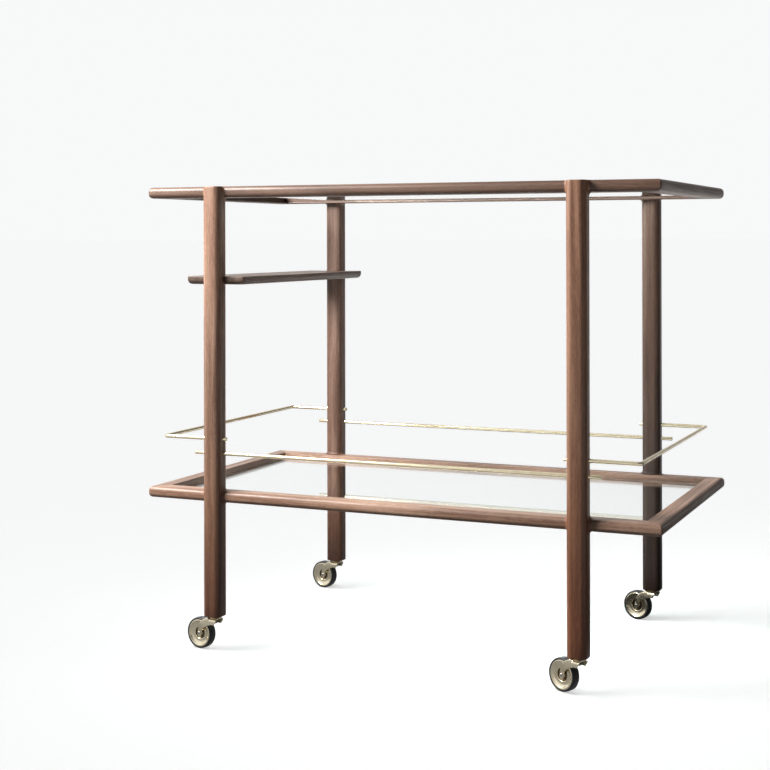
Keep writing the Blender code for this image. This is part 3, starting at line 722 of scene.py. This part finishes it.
def fork_mesh():
    along_top = lambda z: (lambda a, b: abs(a.x - b.x) > 5 and a.z > z - 1e-3
                           and b.z > z - 1e-3)
    crown = loose("fork_work", block("crown", -12, 9, -ARM_IN - 1.9, ARM_IN + 1.9, 43.2,
                                     CROWN_TOP, along_top(CROWN_TOP), 5.5))
    tools = []
    inner = loose("fork_inner", block("inner", -20, 20, -ARM_IN, ARM_IN, 30,
                                      CROWN_TOP - SHEET, along_top(CROWN_TOP - SHEET), 3.6))
    nose = block("nose", 0, 30, -20, 20, -30, 0)
    nose.transform(Matrix.Translation((9 * MM, 0, 49.6 * MM))
                   @ Matrix.Rotation(math.radians(32), 4, "Y"))
    nose = loose("fork_nose", nose)
    use_boolean(crown, inner, "DIFFERENCE")
    use_boolean(crown, nose, "DIFFERENCE")
    tools += [inner, nose]
    for side in (-1, 1):
        arm = loose(f"fork_arm_{side}", arm_mesh(side))
        use_boolean(crown, arm, "UNION")
        tools.append(arm)
    neck = loose("fork_neck", lathe("neck", [(0.01, 53), (7.0, 53), (7.0, 54.3),
                                             (6.7, 54.6), (0.01, 54.6)], 48))
    use_boolean(crown, neck, "UNION")
    tools.append(neck)
    hole = loose("fork_hole", lathe("hole", [(0.01, 30), (4.3, 30), (4.3, 70),
                                             (0.01, 70)], 32))
    use_boolean(crown, hole, "DIFFERENCE")
    tools.append(hole)
    eye = lathe("eye", [(0.01, -20), (2.2, -20), (2.2, 20), (0.01, 20)], 24)
    eye.transform(Matrix.Translation((-TRAIL * MM, 0, WHEEL_R))
                  @ Matrix.Rotation(math.pi / 2, 4, "X"))
    eye = loose("fork_eye", eye)
    use_boolean(crown, eye, "DIFFERENCE")
    tools.append(eye)
    remesh = crown.modifiers.new("even", "REMESH")
    remesh.mode = "VOXEL"
    remesh.voxel_size = 0.36 * MM
    soften = crown.modifiers.new("soften", "SMOOTH")
    soften.factor = 0.5
    soften.iterations = 4
    bpy.context.view_layer.update()
    graph = bpy.context.evaluated_depsgraph_get()
    mesh = bpy.data.meshes.new_from_object(crown.evaluated_get(graph))
    mesh.name = "fork_mesh"
    for tool in (*tools, crown):
        bpy.data.objects.remove(tool, do_unlink=True)
    mesh.shade_smooth()
    return mesh


def on_axle(mesh):
    mesh.transform(Matrix.Translation((-TRAIL * MM, 0, WHEEL_R))
                   @ Matrix.Rotation(math.pi / 2, 4, "X"))
    return mesh


def mirrored(points):
    """A profile given for the upper side, closed by its mirror image."""
    return list(points) + [(r, -h) for r, h in reversed(points)]


def rounded(points, per=5):
    return [tuple(p) for p in smooth_line(points, per)]


HUB_TOP = (rounded([(2.2, 4.0), (3.4, 4.05), (4.5, 3.85), (5.0, 3.0), (5.3, 1.9),
                    (6.0, 1.55), (7.8, 1.5), (9.0, 1.7), (9.5, 2.7), (9.9, 3.8),
                    (10.8, 4.3), (13.2, 4.5), (16.2, 5.1), (18.2, 5.95), (19.3, 6.6)], 4)
           + rounded([(19.9, 6.98), (20.6, 7.12), (21.4, 7.04), (22.05, 6.75)], 3))
HUB = on_axle(lathe("hub_mesh", mirrored(HUB_TOP), 96))
TYRE_TOP = [(22.35, 6.7), (22.45, 7.1), (23.1, 7.15), (23.7, 7.07), (24.3, 6.78),
            (24.75, 6.3), (25.05, 5.6), (25.2, 4.5), (25.24, 3.9), (25.29, 2.8),
            (25.34, 1.2)]
TYRE = on_axle(lathe("tyre_mesh", mirrored(rounded(TYRE_TOP, 3)), 112))
AXLE = on_axle(lathe("axle_mesh", [(0.02, 7.65), (0.9, 7.62), (1.7, 7.5), (2.3, 7.2),
                                   (2.65, 6.85), (1.85, 6.75), (1.85, -6.75),
                                   (2.65, -6.85), (2.3, -7.2), (1.7, -7.5), (0.9, -7.62),
                                   (0.02, -7.65)], 40))
STEM = lathe("stem_mesh", [(0.02, 90.9), (2.6, 90.9), (3.3, 90.4), (3.9, 89.4),
                           (3.9, 51.4), (5.1, 51.35), (5.0, 50.6), (4.3, 49.8),
                           (2.9, 49.4), (0.02, 49.35)], 40)
SOCKET = lathe("socket_mesh", [(5.5, 94.9), (5.5, 57.4), (5.9, 56.95), (9.6, 56.95),
                               (9.95, 56.7), (9.95, 56.25), (9.6, 55.95), (9.2, 55.85),
                               (4.3, 55.85), (4.2, 56.0), (4.2, 94.9)], 64)
WASHER = lathe("washer_mesh", [(7.1, 55.45), (7.18, 55.2), (7.1, 54.95), (4.4, 54.95),
                               (4.35, 55.2), (4.4, 55.45)], 48)
FORK = fork_mesh()


def turned_board(mesh, on_z):
    """Radius and scaled height along the axis, for tool lines."""
    co = np.zeros(len(mesh.vertices) * 3, np.float32)
    mesh.vertices.foreach_get("co", co)
    co = co.reshape(-1, 3)
    if on_z:
        a, b, c = co[:, 0], co[:, 1], co[:, 2]
    else:
        a, b, c = co[:, 0] + TRAIL * MM, co[:, 2] - WHEEL_R, co[:, 1]
    radius = np.hypot(a, b)
    data = np.stack([radius, c * 0.2, np.zeros_like(c)], 1)
    mesh.attributes.new("board", "FLOAT_VECTOR", "POINT").data.foreach_set(
        "vector", data.reshape(-1).astype(np.float32))


turned_board(HUB, False)
turned_board(SOCKET, True)
for leg in LEGS:
    pos = SWIVEL[leg]["pos_m"]
    axis = ROLL[leg]["axis"]
    beta = math.atan2(axis[0], axis[1])
    place = (Matrix.Translation((pos[0], pos[1], 0)) @ Matrix.Rotation(-beta, 4, "Z"))
    for part, mesh, mat in (("fork", FORK, BRASS), ("stem", STEM, STEEL),
                            ("axle", AXLE, STEEL), ("hub", HUB, BRASS_HUB),
                            ("tyre", TYRE, RUBBER), ("swivel_washer", WASHER, NYLON),
                            ("socket", SOCKET, BRASS_TURNED)):
        own = mesh.copy()
        own.transform(place)
        add_piece(f"{leg}_{part}_{mat.name.split('_')[0]}", own, mat, f"{leg}_{part}")

# dowels stay as the CAD has them, in beech
for name, node in frame["nodes"].items():
    if name.endswith("_dowel"):
        co = np.zeros(len(node.data.vertices) * 3, np.float32)
        node.data.vertices.foreach_get("co", co)
        node.data.attributes.new("board", "FLOAT_VECTOR", "POINT").data.foreach_set(
            "vector", co.reshape(-1, 3)[:, [1, 0, 2]].reshape(-1))
        set_tone_and_painted_light(node.data, (1.0, 1.0, 1.0))
        node.data.materials.clear()
        node.data.materials.append(BEECH)

# ======================================================= floor, light and camera
floor = bpy.data.meshes.new("floor")
floor.from_pydata([(-900, -900, 0), (900, -900, 0), (900, 900, 0), (-900, 900, 0)], [],
                  [(0, 1, 2, 3)])
floor = bpy.data.objects.new("floor", floor)
bpy.context.scene.collection.objects.link(floor)
mat, t = new_material("pale_floor")
path = t.add("ShaderNodeLightPath")
seen = t.math("MAXIMUM", path.outputs["Is Camera Ray"],
              path.outputs["Is Transmission Ray"])
PALE = (0.935, 0.944, 0.946)
glow = t.add("ShaderNodeEmission", Color=(*PALE, 1.0), Strength=0.568)
matt = t.add("ShaderNodeBsdfDiffuse", Color=(0.80, 0.807, 0.809, 1.0))
plain = t.add("ShaderNodeAddShader", i0=glow.outputs[0], i1=matt.outputs[0])
# what metal and glass mirror: dim close to the cart, pale further out to the left
spot = t.add("ShaderNodeTexCoord").outputs["Object"]
far = t.add("ShaderNodeVectorMath", {"operation": "LENGTH"}, i0=spot).outputs["Value"]
aside = t.add("ShaderNodeSeparateXYZ", Vector=t.add(
    "ShaderNodeVectorMath", {"operation": "NORMALIZE"}, i0=spot).outputs[0])
behind = t.span(aside.outputs[1], -0.2, 0.1)
shade = t.math("MULTIPLY", behind, t.span(aside.outputs[0], 0.2, 0.6, 0.0, 0.85))
front = t.span(t.add("ShaderNodeSeparateXYZ", Vector=spot).outputs[1], -0.38, -0.24,
               0.14, 0.0)
mirrored_floor = t.math("ADD", t.span(far, 0.62, 1.9, 0.30, 1.04), front)
mirrored_floor = t.math("MULTIPLY", mirrored_floor, t.math("SUBTRACT", 1.0, shade))
soft = t.math("SUBTRACT", 1.0, path.outputs["Is Diffuse Ray"])
strength = t.math("ADD", t.math("MULTIPLY", mirrored_floor, soft),
                  t.math("MULTIPLY", path.outputs["Is Diffuse Ray"], 0.018))
dim = t.add("ShaderNodeEmission", Color=(1.0, 1.0, 1.0, 1.0), Strength=strength)
t.output(t.add("ShaderNodeMixShader", i0=seen, i1=dim.outputs[0],
               i2=plain.outputs[0]).outputs[0])
floor.data.materials.append(mat)

world = bpy.data.worlds.new("studio")
bpy.context.scene.world = world
t = Tree(world)
path = t.add("ShaderNodeLightPath")
way = t.add("ShaderNodeSeparateXYZ",
            Vector=t.add("ShaderNodeTexCoord").outputs["Generated"])
left = t.span(way.outputs[0], -0.75, 0.25, 1.0, 0.0)
back = t.math("MULTIPLY", t.span(way.outputs[1], -0.05, 0.35),
              t.span(way.outputs[0], -0.45, 0.45, 1.0, 0.10))
up = t.span(way.outputs[2], -0.1, 0.9)
light = t.math("MULTIPLY", t.math("MAXIMUM", left, back), 0.90)
light = t.math("ADD", light, t.math("MULTIPLY", up, 0.12))
light = t.math("ADD", light, 0.03)
# the room shows in bright metal and glass, and lights the rest only a little
soft = t.math("MULTIPLY", path.outputs["Is Diffuse Ray"], -0.96)
light = t.math("MULTIPLY", light, t.math("ADD", soft, 1.0))
room = t.add("ShaderNodeBackground", Color=(1.0, 0.99, 0.98, 1.0), Strength=light)
wall = t.add("ShaderNodeBackground", Color=(*PALE, 1.0), Strength=1.0)
seen = t.math("MAXIMUM", path.outputs["Is Camera Ray"],
              path.outputs["Is Transmission Ray"])
t.output(t.add("ShaderNodeMixShader", i0=seen, i1=room.outputs[0],
               i2=wall.outputs[0]).outputs[0], "ShaderNodeOutputWorld")


def lamp(name, kind, at, aim, energy, colour, **settings):
    data = bpy.data.lights.new(name, kind)
    data.energy, data.color = energy, colour
    for key, value in settings.items():
        setattr(data, key, value)
    obj = bpy.data.objects.new(name, data)
    obj.location = at
    obj.rotation_euler = (Vector(aim) - Vector(at)).to_track_quat("-Z", "Y").to_euler()
    bpy.context.scene.collection.objects.link(obj)
    obj.visible_camera = False
    return obj


key = lamp("key", "AREA", (-0.98, -0.80, 1.38), (-0.1, 0.0, 0.65), 50, (1.0, 0.98, 0.96),
           shape="SQUARE", size=0.55)
sun = lamp("floor_light", "SUN", (-1.6, -1.1, 3.4), (0.0, 0.0, 0.0), 1.55,
           (1.0, 1.0, 1.0), angle=math.radians(28))
only_floor = bpy.data.collections.new("only_floor")
only_floor.objects.link(floor)
sun.light_linking.receiver_collection = only_floor
only_cart = bpy.data.collections.new("only_cart")
for obj in bpy.data.objects:
    if obj.type == "MESH" and obj is not floor:
        only_cart.objects.link(obj)
key.light_linking.receiver_collection = only_cart
# a soft fill for the back, high enough that the lower glass doesn't mirror it
fill = lamp("fill", "AREA", (-0.75, 1.9, 1.65), (0.0, 0.0, 0.45), 27, (1.0, 0.99, 0.98),
            shape="SQUARE", size=0.7)
fill.visible_glossy = False
fill.light_linking.receiver_collection = only_cart

camera = bpy.data.objects.new("camera", bpy.data.cameras.new("camera"))
bpy.context.scene.collection.objects.link(camera)
yaw, pitch, roll = 0.411836, 0.002614, -0.001792
ahead = Vector((-math.sin(yaw), math.cos(yaw), 0))
right = Vector((math.cos(yaw), math.sin(yaw), 0))
above = Vector((0, 0, 1)) * math.cos(pitch) - ahead * math.sin(pitch)
fwd = ahead * math.cos(pitch) + Vector((0, 0, 1)) * math.sin(pitch)
cam_x = right * math.cos(roll) + above * math.sin(roll)
cam_y = above * math.cos(roll) - right * math.sin(roll)
turn = Matrix((cam_x, cam_y, -fwd)).transposed().to_4x4()
camera.matrix_world = Matrix.Translation((0.92762, -2.35917, 0.67500)) @ turn
camera.data.sensor_width = 36.0
camera.data.lens = 1486.21 * 36 / 770
camera.data.shift_x = -0.5 / 770
camera.data.shift_y = (235.156 - 385) / 770
camera.data.clip_end = 3000
bpy.context.scene.camera = camera
bpy.context.scene.view_settings.view_transform = "Standard"
bpy.context.scene.view_settings.look = "None"
